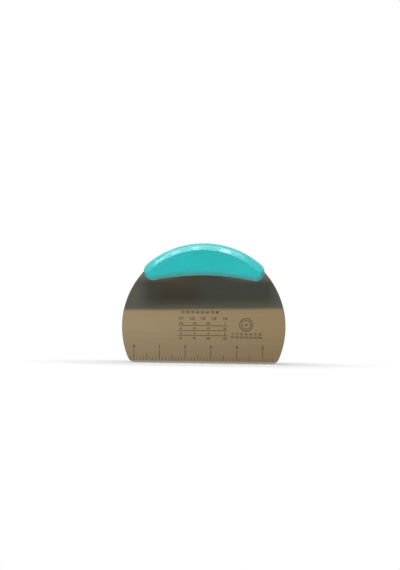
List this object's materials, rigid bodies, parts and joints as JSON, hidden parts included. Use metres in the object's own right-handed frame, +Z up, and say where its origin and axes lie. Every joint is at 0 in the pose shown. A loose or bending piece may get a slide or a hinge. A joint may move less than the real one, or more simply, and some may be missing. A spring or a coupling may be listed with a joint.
{
  "type": "dough scraper",
  "caption": "Half-round dough scraper: a flat steel blade with a straight working edge and etched scale, clamped in a moulded crescent handle.",
  "frame": {"origin": "middle of the straight working edge, at half the blade's thickness", "axes": "+X along the working edge, to the right when the scale is read; +Y through the blade from its marked front to its back; +Z up from the working edge to the handle"},
  "size_m": [0.1616, 0.018, 0.1184],
  "materials": {
    "blade_steel": "rolled stainless steel, nearly mirror bright, with fine brushing along the working edge",
    "handle_plastic": "glossy moulded turquoise polypropylene"
  },
  "bodies": {
    "root": {"blade": "blade_steel", "handle_front_shell": "handle_plastic", "handle_back_shell": "handle_plastic"}
  },
  "joints": []
}
